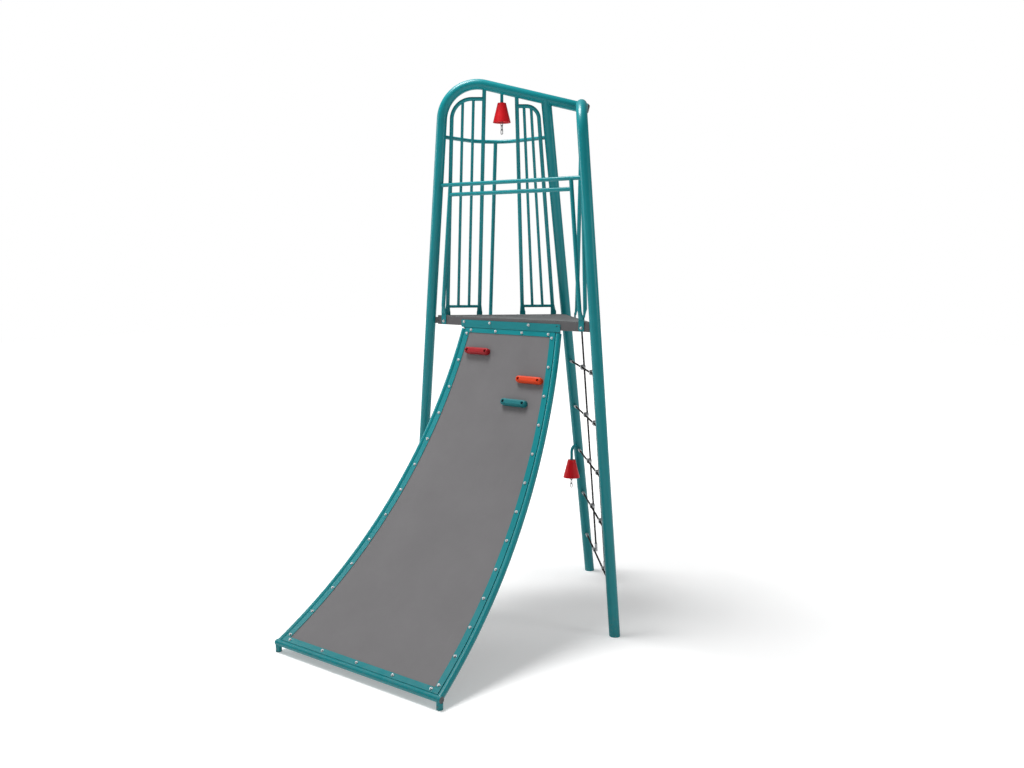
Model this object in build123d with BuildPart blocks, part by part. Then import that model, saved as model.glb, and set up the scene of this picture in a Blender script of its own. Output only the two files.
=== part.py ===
"""Playground climbing tower: three leaning legs, a triangular deck, a curved climbing wall
in front, a rope net at the side, guard frames, a slide pole and two pull bells.

+X runs along the front from the left leg to the right leg, +Y points from the climbing wall
to the rear leg and +Z is up. The origin is on the ground at the middle of the outer box.
"""
import os
from math import asin, cos, degrees, hypot, radians, sin, tan

from build123d import *

# Legs and the top beam
front_foot_x = 1084.0        # half of the spread of the front feet
rear_foot_y = 1312.0         # rear foot behind the front leg line
front_lean = 5.0             # front legs lean inwards, degrees
rear_lean = 10.0             # rear leg leans forwards, degrees
leg_radius = 44.45
leg_wall = 3.6
left_corner_z = 4573.0       # where the left leg and the beam would meet if unbent
beam_over_rear_z = 4379.0    # beam height over the rear leg
beam_overhang = 360.0        # beam beyond the rear leg
left_bend_radius = 310.0
right_corner_z = 4215.0      # where the right leg and its arm would meet if unbent
right_bend_radius = 270.0
arm_to_beam_end = 35.0       # right arm's joint before the beam's end
weld_gap = 0.1               # gap at the coped end of a tube
joint_inset = 4.0            # a tube stops short of the axis of an equal tube
cap_dome = 16.0
# Deck
deck_top = 2520.0
deck_thickness = 8.0
fascia_height = 70.0
fascia_thickness = 12.0
fascia_setback = 18.0        # fascia face inside the line through two leg axes
corner_gap = 65.0            # deck corner from a leg axis, along the side
side_board_gap = 95.0        # side fascia's front end from a front leg axis
bracket_drop = 8.0
# Guards, rails and poles
rail_radius = 16.85
rail_wall = 2.6
bar_radius = 12.5
front_rail_z = 3652.0
front_rail_drop = 84.0       # lower front rail below the upper one
front_post_offset = 138.0    # front post beside its leg
guard_foot_rail = 75.0       # panel's bottom rail above the deck
left_panel_feet = (147.0, 433.0)    # along the left side, from the left leg
right_panel_feet = (824.0, 1106.0)
left_panel_top = 4381.0
right_panel_top = 4322.0
left_panel_radius = 175.0
right_panel_radius = 110.0
left_outer_top = (-639.0, 48.0)     # outer posts' corners, from the front leg line
right_outer_top = (-57.0, 503.0)
left_inner_on_beam = 0.393          # inner posts along the beam, leg to leg
right_inner_on_beam = 0.709
curved_rail_z = 4066.0
curved_rail_corner = (-735.0, 700.0)
curved_rail_radius = 300.0
slide_pole_on_rail = 0.512
slide_pole_foot = (-976.0, 870.0)   # from the front leg line
grab_pole_feet = (368.0, 728.0)     # along the right side, from the right leg
grab_poles_on_arm = (0.30, 0.62)
tab_width = 50.0
tab_thickness = 6.0
tab_drop = 77.0
tab_rise = 40.0
flare_height = 50.0
tab_bolt_drop = 49.0
# Dome nuts
nut_radius = 8.5
nut_height = 7.0
washer_radius = 12.0
washer_height = 2.0
# Climbing wall, a sheet rolled about an axis along X
wall_bend_radius = 4112.0           # front face of the edge strips
wall_top_angle = 17.3               # sheet's top edge below the horizontal, seen from the axis
wall_top_y = 14.0                   # sheet's top edge behind the front leg line
wall_top_drop = 95.8                # sheet's top edge below the deck
strip_thickness = 4.0
sheet_thickness = 12.0
flange_thickness = 4.0
nut_line_half_top = 450.0           # side nuts from the middle, at the first nut
nut_line_half_bottom = 764.0
strip_inner = 21.0                  # strip edges each side of its nuts
strip_outer = 30.0
bottom_strip_outer = 24.0
side_nut_count = 13
nut_seat = 0.02                     # washers clear of the curved strips
top_nut_angle = 0.26                # nuts below the sheet's edge, degrees
first_side_nut_angle = 0.67
top_nut_x = (-409.0, -139.5, 139.5, 409.0)
bottom_nut_count = 5
bottom_nut_half = 727.0
frame_tube_radius = 24.15
frame_tube_wall = 2.9
frame_tube_offset = 53.0            # side tube beside its nut line
frame_tube_depth = 18.0             # tube axis behind the strips' front face
bottom_tube_z = 70.5
bottom_tube_half = 846.0
bottom_cap_dome = 5.0
wall_foot_half = 829.0
wall_foot_radius = 24.0
wall_foot_wall = 2.9
set_screw_radius = 4.0
plate_half = 522.0
plate_height = 64.0
plate_drop = 27.0                   # mounting plate's top below the deck
plate_thickness = 6.0
plate_corner = 12.0
plate_bolt_drop = 45.0
plate_bolt_x = (-491.0, -205.0, 205.0, 491.0)
plate_hole_radius = 7.0
top_bar_height = 35.0
top_bar_depth = 32.0
# Grab holds: across the wall, and the angle below the sheet's edge
holds = {"hold_red": (-283.0, 2.82), "hold_orange": (325.0, 5.8), "hold_teal": (232.0, 8.66)}
hold_length = 258.0
hold_width = 56.0
hold_depth = 42.0
hold_bolt_spacing = 197.0
hold_bolt_radius = 7.0
hold_recess_radius = 13.0
hold_recess_depth = 26.0
# Rope net
rope_radius = 8.0
rung_heights = (392.0, 815.0, 1239.0, 1663.0, 2089.0)
rope_shares = ((0.348, 0.471), (0.686, 0.77))   # upright ropes, rear leg to right leg, low and high
rope_stand_off = 21.0               # upright ropes in front of the rungs
clamp_radius = 23.0
clamp_half = 15.0
ferrule_radius = 12.5
ferrule_length = 52.0
lug_length = 30.0
lug_thickness = 8.0
lug_width = 34.0
rope_gap = 0.2
# Bells
bell_top_radius = 36.0
bell_bottom_radius = 77.0
bell_height = 165.0
bell_wall = 5.0
hanger_radius = 13.45
hanger_wall = 2.6
bell_on_beam = 0.564
beam_bell_top_z = 4346.0
leg_bell_top_z = 1150.0
leg_hook_z = 1275.0
leg_hook_reach = 107.0
leg_hook_radius = 48.0
eye_radius = 10.0
eye_wire = 3.0
eye_stem = 22.0
loop_radius = 11.0
loop_wire = 3.0
link_gap = 0.3
link_length = 22.0                  # between the centres of a link's two bows
clapper_rod = 57.0
clapper_ball = 17.0
link_count = 3

parts_folder = "parts"


# ---- places that follow from the sizes above ----
def tangent(angle):
    return tan(radians(angle))


bottom_tube_reach = wall_bend_radius + frame_tube_depth
wall_axis_y = wall_top_y - wall_bend_radius * cos(radians(wall_top_angle))
wall_axis_z = deck_top - wall_top_drop + wall_bend_radius * sin(radians(wall_top_angle))
bottom_tube_angle = degrees(asin((wall_axis_z - bottom_tube_z) / bottom_tube_reach))
wall_toe = -(wall_axis_y + bottom_tube_reach * cos(radians(bottom_tube_angle))) + frame_tube_radius
rear_reach = rear_foot_y + leg_radius / cos(radians(rear_lean))
front_y = (wall_toe - rear_reach) / 2


def left_axis(z):
    return Vector(-front_foot_x + z * tangent(front_lean), front_y, z)


def right_axis(z):
    return Vector(front_foot_x - z * tangent(front_lean), front_y, z)


def rear_axis(z):
    return Vector(0, front_y + rear_foot_y - z * tangent(rear_lean), z)


def ahead(start, end, length):
    """A point beyond start, towards end."""
    return start + (end - start).normalized() * length


def write(builder, name):
    builder.part.label = name
    export_step(builder.part, parts_folder + "/" + name + ".step")


# ---- helpers that add to the part being built ----
def straight_tube(start, end, radius, wall=0.0, mode=Mode.ADD):
    plane = Plane(origin=start, z_dir=end - start)
    with BuildSketch(plane) as section:
        Circle(radius)
        if wall:
            Circle(radius - wall, mode=Mode.SUBTRACT)
    extrude(section.sketch, amount=(end - start).length, mode=mode)


def bent_tube(points, bends, radius, wall=0.0):
    with BuildLine() as route:
        FilletPolyline(*points, radius=bends)
    with BuildSketch(Plane(origin=route.line @ 0, z_dir=route.line % 0)) as section:
        Circle(radius)
        if wall:
            Circle(radius - wall, mode=Mode.SUBTRACT)
    sweep(section.sketch, path=route.line)


def cut_at_ground():
    split(bisect_by=Plane.XY, keep=Keep.TOP)


def dome_nut(plane):
    """A washer and a domed hexagon nut standing on a plane."""
    with BuildSketch(plane) as washer:
        Circle(washer_radius)
    extrude(washer.sketch, amount=washer_height)
    with BuildSketch(plane.offset(washer_height)) as nut:
        RegularPolygon(nut_radius * 1.12, 6)
    extrude(nut.sketch, amount=nut_height)
    with Locations(plane.offset(washer_height + nut_height).location):
        Sphere(nut_radius, arc_size1=0)


def torus_ring(centre, normal, radius, wire):
    with BuildLine(Plane(origin=centre, z_dir=normal)) as ring:
        CenterArc((0, 0), radius, 0, 360)
    with BuildSketch(Plane(origin=ring.line @ 0, z_dir=ring.line % 0)) as section:
        Circle(wire)
    sweep(section.sketch, path=ring.line)


# ---- legs and beam ----
left_foot = left_axis(-80)
left_corner = left_axis(left_corner_z)
rear_top = rear_axis(beam_over_rear_z)
beam_end = rear_top + (rear_top - left_corner).normalized() * beam_overhang
right_corner = right_axis(right_corner_z)
arm_end = ahead(beam_end, left_corner, arm_to_beam_end)


def build_left_leg(radius, wall=0.0, past_end=0.0):
    with BuildPart() as leg:
        beyond = ahead(beam_end, left_corner, -past_end) if past_end else beam_end
        bent_tube([left_foot, left_corner, beyond], left_bend_radius, radius, wall)
        cut_at_ground()
    return leg


def build_right_leg(radius, wall=0.0):
    with BuildPart() as leg:
        bent_tube([right_axis(-80), right_corner, arm_end], right_bend_radius, radius, wall)
        cut_at_ground()
        add(left_envelope.part, mode=Mode.SUBTRACT)
    return leg


def build_rear_leg(radius, wall=0.0):
    with BuildPart() as leg:
        straight_tube(rear_axis(-80), rear_top, radius, wall)
        cut_at_ground()
        add(left_envelope.part, mode=Mode.SUBTRACT)
    return leg


left_envelope = build_left_leg(leg_radius + weld_gap, past_end=cap_dome + 30)
right_envelope = build_right_leg(leg_radius + weld_gap)
rear_envelope = build_rear_leg(leg_radius + weld_gap)


def cut_by(*builders):
    for builder in builders:
        add(builder.part, mode=Mode.SUBTRACT)


def legs_and_beam():
    write(build_left_leg(leg_radius, leg_wall), "left_leg_and_beam")
    write(build_right_leg(leg_radius, leg_wall), "right_leg_and_arm")
    write(build_rear_leg(leg_radius, leg_wall), "rear_leg")
    cap_plane = Plane(origin=beam_end, z_dir=beam_end - left_corner)
    with BuildPart() as cap:
        with BuildSketch(cap_plane) as rim:
            Circle(leg_radius)
        extrude(rim.sketch, amount=4)
        with BuildSketch(cap_plane.offset(4)) as dome:
            Circle(leg_radius - 1)
        extrude(dome.sketch, amount=cap_dome, taper=35)
        with BuildSketch(cap_plane) as plug:
            Circle(leg_radius - leg_wall)
        extrude(plug.sketch, amount=-20)
    write(cap, "beam_end_cap")


# ---- deck ----
class Side:
    """One side of the deck, along the line through two leg axes at deck height."""

    def __init__(self, start, end):
        self.start = Vector(start.X, start.Y, 0)
        self.along = (Vector(end.X, end.Y, 0) - self.start).normalized()
        self.length = (Vector(end.X, end.Y, 0) - self.start).length
        self.outward = Vector(self.along.Y, -self.along.X, 0)

    def at(self, distance, outward=0.0, z=deck_top):
        place = self.start + self.along * distance + self.outward * outward
        return Vector(place.X, place.Y, z)

    def face(self, distance, z, outward=-fascia_setback):
        """A plane on the fascia: x along the side, y up, z outwards."""
        return Plane(origin=self.at(distance, outward, z), x_dir=self.along, z_dir=self.outward)


front_side = Side(left_axis(deck_top), right_axis(deck_top))
left_side = Side(rear_axis(deck_top), left_axis(deck_top))
right_side = Side(right_axis(deck_top), rear_axis(deck_top))


def from_left_leg(distance):
    return left_side.length - distance


def deck():
    corners = []
    for side in (front_side, right_side, left_side):
        corners.append(side.at(corner_gap, -fascia_setback))
        corners.append(side.at(side.length - corner_gap, -fascia_setback))
    with BuildPart() as panel:
        with BuildSketch(Plane.XY.offset(deck_top - deck_thickness)) as outline:
            with BuildLine():
                Polyline(*[(corner.X, corner.Y) for corner in corners], close=True)
            make_face()
        extrude(outline.sketch, amount=deck_thickness)
    write(panel, "deck_panel")

    boards = {
        "front_fascia": (front_side, corner_gap, corner_gap),
        "right_fascia": (right_side, side_board_gap, corner_gap),
        "left_fascia": (left_side, corner_gap, side_board_gap),
    }
    board_top = deck_top - deck_thickness
    for name, (side, start_gap, end_gap) in boards.items():
        length = side.length - start_gap - end_gap
        middle = start_gap + length / 2
        with BuildPart() as board:
            with BuildSketch(side.face(middle, board_top - fascia_height / 2)) as face:
                Rectangle(length, fascia_height)
            extrude(face.sketch, amount=-fascia_thickness)
        write(board, name)

    with BuildPart() as brackets:
        for first, second, width in ((0, 5, 12), (2, 1, 12), (4, 3, 44)):
            legs_at = (left_axis, right_axis, rear_axis)[first // 2](deck_top)
            edge = (corners[first] + corners[second]) / 2
            height = fascia_height - 2 * bracket_drop
            leg_point = Vector(legs_at.X, legs_at.Y, edge.Z)
            middle_z = deck_top - deck_thickness - fascia_height / 2
            reach = (leg_point - edge).length
            inward = (leg_point - edge).normalized()
            plane = Plane(origin=(edge.X, edge.Y, middle_z), x_dir=(-inward.Y, inward.X, 0),
                          z_dir=inward)
            with BuildSketch(plane) as web:
                Rectangle(width, height)
            extrude(web.sketch, amount=reach)
        cut_by(left_envelope, right_envelope, rear_envelope)
    write(brackets, "deck_corner_brackets")

    with BuildPart() as screws:
        for side, count in ((front_side, 6), (left_side, 4), (right_side, 4)):
            pitch = (side.length - 2 * corner_gap - 120) / (count - 1)
            for number in range(count):
                place = side.at(corner_gap + 60 + number * pitch, -fascia_setback - 24)
                with BuildSketch(Plane(origin=place)) as head:
                    Circle(7)
                extrude(head.sketch, amount=2.5, taper=30)
    write(screws, "deck_screws")


# ---- guards and poles ----
def bolted_foot(side, distance, top):
    """Flatten a post that stands beside the fascia into a tab bolted to its face."""
    with BuildSketch(side.face(distance, deck_top)) as tab:
        with Locations((0, (tab_rise - tab_drop) / 2)):
            Rectangle(tab_width, tab_rise + tab_drop)
        fillet(tab.vertices(), radius=tab_width * 0.3)
    extrude(tab.sketch, amount=tab_thickness)
    foot = side.at(distance)
    neck = ahead(foot, top, tab_rise + flare_height)
    with BuildSketch(Plane(origin=neck, x_dir=side.along, z_dir=top - foot)) as round_end:
        Circle(rail_radius)
    flat_centre = side.at(distance, tab_thickness - fascia_setback, deck_top + tab_rise / 2)
    with BuildSketch(Plane(origin=flat_centre, x_dir=side.along, z_dir=(0, 0, 1))) as flat_end:
        RectangleRounded(tab_width * 0.98, 2 * tab_thickness * 0.98, tab_thickness * 0.9)
    loft(sections=[flat_end.sketch, round_end.sketch])
    return neck


def front_guard():
    shift = front_post_offset
    with BuildPart() as guard:
        straight_tube(left_axis(front_rail_z), right_axis(front_rail_z), rail_radius)
        low = front_rail_z - front_rail_drop
        posts = []
        for sign, axis in ((1, left_axis), (-1, right_axis)):
            top = axis(front_rail_z) + Vector(sign * shift, 0, 0)
            foot = axis(deck_top) + Vector(sign * shift, 0, 0)
            distance = shift if sign > 0 else front_side.length - shift
            neck = bolted_foot(front_side, distance, top)
            straight_tube(neck, ahead(top, foot, joint_inset), rail_radius)
            posts.append(ahead(top, foot, front_rail_drop))
        straight_tube(ahead(posts[0], posts[1], joint_inset),
                      ahead(posts[1], posts[0], joint_inset), rail_radius)
        cut_by(left_envelope, right_envelope)
    write(guard, "front_guard")
    return low


def back_panel(name, feet, outer_top, top_z, radius, on_beam, outer_first):
    """Two posts with flattened feet, a bottom rail, a bent top rail and two bars."""
    outer_distance, inner_distance = feet if outer_first else feet[::-1]
    outer_foot = left_side.at(from_left_leg(outer_distance))
    inner_foot = left_side.at(from_left_leg(inner_distance))
    inner_top = left_corner + (rear_top - left_corner) * on_beam
    corner = Vector(outer_top[0], front_y + outer_top[1], top_z)
    meet = inner_foot + (inner_top - inner_foot) * ((top_z - deck_top) / (inner_top.Z - deck_top))
    with BuildPart() as panel:
        outer_neck = bolted_foot(left_side, from_left_leg(outer_distance), corner)
        bent_tube([outer_neck, corner, ahead(meet, corner, joint_inset)], radius, rail_radius)
        inner_neck = bolted_foot(left_side, from_left_leg(inner_distance), inner_top)
        straight_tube(inner_neck, inner_top, rail_radius)
        lift = guard_foot_rail / (top_z - deck_top)
        low_outer = outer_foot + (corner - outer_foot) * lift
        low_inner = inner_foot + (meet - inner_foot) * lift
        straight_tube(low_outer, low_inner, bar_radius)
        for share in (1 / 3, 2 / 3):
            low = low_outer + (low_inner - low_outer) * share
            high = corner + (meet - corner) * share
            run = (meet - corner).length * share
            dip = 0.0
            if run < radius:
                dip = radius - (radius ** 2 - (radius - run) ** 2) ** 0.5
            straight_tube(low, ahead(high, low, dip), bar_radius)
        cut_by(left_envelope)
    write(panel, name)


def curved_rail_route():
    corner = Vector(curved_rail_corner[0], front_y + curved_rail_corner[1], curved_rail_z)
    return [left_axis(curved_rail_z), corner, rear_axis(curved_rail_z)]


def rails_and_poles():
    with BuildPart() as rail:
        bent_tube(curved_rail_route(), curved_rail_radius, rail_radius, rail_wall)
        cut_by(left_envelope, rear_envelope)
    write(rail, "curved_rail")
    with BuildPart() as envelope:
        bent_tube(curved_rail_route(), curved_rail_radius, rail_radius + weld_gap)

    with BuildLine() as route:
        FilletPolyline(*curved_rail_route(), radius=curved_rail_radius)
    apex = route.line @ slide_pole_on_rail
    foot = Vector(slide_pole_foot[0], front_y + slide_pole_foot[1], 0)
    with BuildPart() as pole:
        straight_tube(ahead(foot, apex, -80), apex, rail_radius, rail_wall)
        cut_at_ground()
        cut_by(envelope)
    write(pole, "slide_pole")

    names = ("grab_pole_front", "grab_pole_rear")
    for name, distance, share in zip(names, grab_pole_feet, grab_poles_on_arm):
        top = right_corner + (arm_end - right_corner) * share
        with BuildPart() as pole:
            neck = bolted_foot(right_side, distance, top)
            straight_tube(neck, top, rail_radius)
            cut_by(right_envelope)
        write(pole, name)


def guard_nuts():
    with BuildPart() as nuts:
        for distance in (front_post_offset, front_side.length - front_post_offset):
            bolt_on_tab(front_side, distance)
        for distance in left_panel_feet + right_panel_feet:
            bolt_on_tab(left_side, from_left_leg(distance))
        for distance in grab_pole_feet:
            bolt_on_tab(right_side, distance)
    write(nuts, "guard_nuts")


def bolt_on_tab(side, distance):
    face = side.face(distance, deck_top - tab_bolt_drop)
    dome_nut(face.offset(tab_thickness))


# ---- climbing wall ----
def wall_point(angle, depth=0.0, x=0.0):
    """A point on the wall: angle below the horizontal, depth behind the strips' front."""
    reach = wall_bend_radius + depth
    y = front_y + wall_axis_y + reach * cos(radians(angle))
    z = wall_axis_z - reach * sin(radians(angle))
    return Vector(x, y, z)


def wall_plane(angle, depth, x):
    """A plane on the wall: x across it, z out of its front."""
    centre = Vector(x, front_y + wall_axis_y, wall_axis_z)
    place = wall_point(angle, depth, x)
    return Plane(origin=place, x_dir=(1, 0, 0), z_dir=centre - place)


first_nut = wall_top_angle + first_side_nut_angle
bottom_nut = bottom_tube_angle - degrees((frame_tube_radius + 20) / wall_bend_radius)
last_nut = bottom_nut - degrees(strip_inner * 2 / wall_bend_radius)
chord_start = wall_point(bottom_tube_angle)
chord_end = wall_point(wall_top_angle)
chord_plane = Plane(origin=chord_start, x_dir=(1, 0, 0),
                    z_dir=Vector(1, 0, 0).cross(chord_end - chord_start))


def chord_height(angle):
    """Height of a wall point in the chord plane, above the bottom tube."""
    return chord_plane.to_local_coords(wall_point(angle)).Y


def nut_line(angle):
    """Side nuts' distance from the middle."""
    share = (chord_height(angle) - chord_height(last_nut))
    share = share / (chord_height(first_nut) - chord_height(last_nut))
    return nut_line_half_bottom + (nut_line_half_top - nut_line_half_bottom) * share


def wall_slab(top_angle, bottom_angle, depth, thickness):
    """A full-width rolled layer of the wall between two angles."""
    middle = (top_angle + bottom_angle) / 2
    width = 2 * bottom_tube_half
    with BuildSketch(Plane.YZ) as section:
        with BuildLine():
            near = [wall_point(angle, depth) for angle in (top_angle, middle, bottom_angle)]
            far = [wall_point(angle, depth + thickness)
                   for angle in (bottom_angle, middle, top_angle)]
            ThreePointArc(*[(p.Y, p.Z) for p in near])
            Line((near[-1].Y, near[-1].Z), (far[0].Y, far[0].Z))
            ThreePointArc(*[(p.Y, p.Z) for p in far])
            Line((far[-1].Y, far[-1].Z), (near[0].Y, near[0].Z))
        make_face()
    extrude(section.sketch, amount=width, both=True)


def trim_sides(margin, mode=Mode.INTERSECT, side=0):
    """Keep, or cut away, what lies within a margin outside the side nut lines.

    side 0 is both sides together, -1 or 1 is the half of the wall on that side.
    """
    low, high = -200.0, chord_height(wall_top_angle) + 200.0
    slope = (nut_line(first_nut) - nut_line(last_nut))
    slope = slope / (chord_height(first_nut) - chord_height(last_nut))
    base = nut_line(last_nut) - chord_height(last_nut) * slope
    half_low = base + low * slope + margin
    half_high = base + high * slope + margin
    left_low, left_high = (-half_low, -half_high) if side <= 0 else (0, 0)
    right_low, right_high = (half_low, half_high) if side >= 0 else (0, 0)
    with BuildSketch(chord_plane) as outline:
        with BuildLine():
            Polyline((left_low, low), (right_low, low), (right_high, high), (left_high, high),
                     close=True)
        make_face()
    extrude(outline.sketch, amount=1000, both=True, mode=mode)


side_tube_end = bottom_tube_angle - degrees(2 * joint_inset / bottom_tube_reach)


def side_tube(sign, radius, wall=0.0):
    angles = (wall_top_angle + 0.1, (wall_top_angle + side_tube_end) / 2, side_tube_end)
    points = [wall_point(angle, frame_tube_depth, sign * (nut_line(angle) + frame_tube_offset))
              for angle in angles]
    with BuildPart() as tube:
        with BuildLine() as route:
            ThreePointArc(*points)
        with BuildSketch(Plane(origin=route.line @ 0, z_dir=route.line % 0)) as section:
            Circle(radius)
            if wall:
                Circle(radius - wall, mode=Mode.SUBTRACT)
        sweep(section.sketch, path=route.line)
    return tube


def bottom_tube(half, radius, wall=0.0):
    centre = wall_point(bottom_tube_angle, frame_tube_depth)
    with BuildPart() as tube:
        straight_tube(centre - Vector(half, 0, 0), centre + Vector(half, 0, 0), radius, wall)
    return tube


def wall_frame():
    bottom_envelope = bottom_tube(bottom_tube_half + 40, frame_tube_radius + weld_gap)
    envelopes = {sign: side_tube(sign, frame_tube_radius) for sign in (-1, 1)}
    for sign, name in ((-1, "wall_tube_left"), (1, "wall_tube_right")):
        tube = side_tube(sign, frame_tube_radius, frame_tube_wall)
        with BuildPart() as trimmed:
            add(tube.part)
            cut_by(bottom_envelope)
        write(trimmed, name)
    write(bottom_tube(bottom_tube_half, frame_tube_radius, frame_tube_wall), "wall_bottom_tube")

    centre = wall_point(bottom_tube_angle, frame_tube_depth)
    with BuildPart() as caps:
        for sign in (-1, 1):
            face = Plane(origin=centre + Vector(sign * bottom_tube_half, 0, 0),
                         x_dir=(0, 1, 0), z_dir=(sign, 0, 0))
            with BuildSketch(face) as rim:
                Circle(frame_tube_radius)
            extrude(rim.sketch, amount=bottom_cap_dome, taper=30)
            with BuildSketch(face) as plug:
                Circle(frame_tube_radius - frame_tube_wall)
            extrude(plug.sketch, amount=-15)
            with BuildSketch(face.offset(bottom_cap_dome)) as slot:
                SlotOverall(14, 6, rotation=90)
            extrude(slot.sketch, amount=-3, mode=Mode.SUBTRACT)
    write(caps, "wall_tube_caps")

    with BuildPart() as feet:
        for sign in (-1, 1):
            top = centre + Vector(sign * wall_foot_half, 0, 0)
            straight_tube(Vector(top.X, top.Y, 0), top, wall_foot_radius, wall_foot_wall)
        cut_by(bottom_envelope, envelopes[-1], envelopes[1])
    write(feet, "wall_feet")

    with BuildPart() as screws:
        for sign in (-1, 1):
            face = Plane(origin=(sign * wall_foot_half, centre.Y - wall_foot_radius + 0.8, 26),
                         x_dir=(1, 0, 0), z_dir=(0, -1, 0))
            with BuildSketch(face) as head:
                Circle(set_screw_radius)
            extrude(head.sketch, amount=4)
        for sign in (-1, 1):
            straight_tube(Vector(sign * wall_foot_half, centre.Y, 0),
                          Vector(sign * wall_foot_half, centre.Y, bottom_tube_z),
                          wall_foot_radius, mode=Mode.SUBTRACT)
    write(screws, "wall_foot_screws")

    sheet_depth = strip_thickness
    flange_depth = sheet_depth + sheet_thickness
    sheet_bottom = bottom_nut + degrees((bottom_strip_outer - 2) / wall_bend_radius)
    with BuildPart() as sheet:
        wall_slab(wall_top_angle, sheet_bottom, sheet_depth, sheet_thickness)
        trim_sides(strip_outer - 2)
        cut_by(bottom_envelope)
    write(sheet, "wall_sheet")

    with BuildPart() as flange:
        wall_slab(wall_top_angle, bottom_tube_angle, flange_depth, flange_thickness)
        trim_sides(frame_tube_offset)
        inner_top = wall_top_angle + top_nut_angle + degrees(strip_inner / wall_bend_radius)
        inner_bottom = bottom_nut - degrees(strip_inner / wall_bend_radius)
        with BuildPart(mode=Mode.PRIVATE) as window:
            wall_slab(inner_top, inner_bottom, flange_depth - 5, flange_thickness + 10)
            trim_sides(-strip_inner)
        cut_by(window, bottom_envelope, envelopes[-1], envelopes[1])
    write(flange, "wall_backing_flange")

    side_end = bottom_nut - degrees((strip_inner + 1) / wall_bend_radius)
    for sign, name in ((-1, "edge_strip_left"), (1, "edge_strip_right")):
        with BuildPart() as strip:
            wall_slab(wall_top_angle, side_end, 0, strip_thickness)
            trim_sides(strip_outer, side=sign)
            with BuildPart(mode=Mode.PRIVATE) as inside:
                wall_slab(wall_top_angle - 1, side_end + 1, -5, strip_thickness + 10)
                trim_sides(-strip_inner)
            cut_by(inside, envelopes[sign])
        write(strip, name)
    with BuildPart() as top_strip:
        strip_bottom = wall_top_angle + top_nut_angle + degrees(strip_inner / wall_bend_radius)
        wall_slab(wall_top_angle, strip_bottom, 0, strip_thickness)
        trim_sides(-strip_inner - 1)
    write(top_strip, "edge_strip_top")
    with BuildPart() as bottom_strip:
        strip_top = bottom_nut - degrees(strip_inner / wall_bend_radius)
        strip_end = bottom_nut + degrees(bottom_strip_outer / wall_bend_radius)
        wall_slab(strip_top, strip_end, 0, strip_thickness)
        trim_sides(strip_outer)
        cut_by(bottom_envelope, envelopes[-1], envelopes[1])
    write(bottom_strip, "edge_strip_bottom")

    with BuildPart() as nuts:
        for number in range(side_nut_count):
            angle = first_nut + (last_nut - first_nut) * number / (side_nut_count - 1)
            for sign in (-1, 1):
                dome_nut(wall_plane(angle, -nut_seat, sign * nut_line(angle)))
        for x in top_nut_x:
            dome_nut(wall_plane(wall_top_angle + top_nut_angle, -nut_seat, x))
        for number in range(bottom_nut_count):
            x = -bottom_nut_half + 2 * bottom_nut_half * number / (bottom_nut_count - 1)
            dome_nut(wall_plane(bottom_nut, -nut_seat, x))
    write(nuts, "wall_nuts")

    plate_top = deck_top - plate_drop
    with BuildPart() as plate:
        middle = front_side.length / 2
        with BuildSketch(front_side.face(middle, plate_top - plate_height / 2)) as outline:
            RectangleRounded(2 * plate_half, plate_height, plate_corner)
        extrude(outline.sketch, amount=plate_thickness)
        face = front_side.face(middle + plate_bolt_x[-1], deck_top - plate_bolt_drop)
        with BuildSketch(face) as hole:
            Circle(plate_hole_radius)
        extrude(hole.sketch, amount=plate_thickness, mode=Mode.SUBTRACT)
    write(plate, "wall_mount_plate")
    with BuildPart() as plate_nuts:
        for x in plate_bolt_x[:-1]:
            face = front_side.face(middle + x, deck_top - plate_bolt_drop)
            dome_nut(face.offset(plate_thickness))
    write(plate_nuts, "wall_plate_nuts")

    bar_top = deck_top - deck_thickness - fascia_height - 1
    bar_front = front_y + fascia_setback
    with BuildPart() as bar:
        with BuildSketch(Plane.YZ) as section:
            with Locations((bar_front + top_bar_depth / 2, bar_top - top_bar_height / 2)):
                Rectangle(top_bar_depth, top_bar_height)
        extrude(section.sketch, amount=nut_line(first_nut) + frame_tube_offset, both=True)
        with BuildPart(mode=Mode.PRIVATE) as layers:
            wall_slab(wall_top_angle, wall_top_angle + 2, -20,
                      20 + flange_depth + flange_thickness)
        cut_by(layers, envelopes[-1], envelopes[1])
    write(bar, "wall_top_bar")


def hold_body(plane):
    """A rounded grip bar with two deep recesses for its screws."""
    with BuildSketch(plane) as base:
        SlotOverall(hold_length, hold_width)
    extrude(base.sketch, amount=hold_depth)


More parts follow.
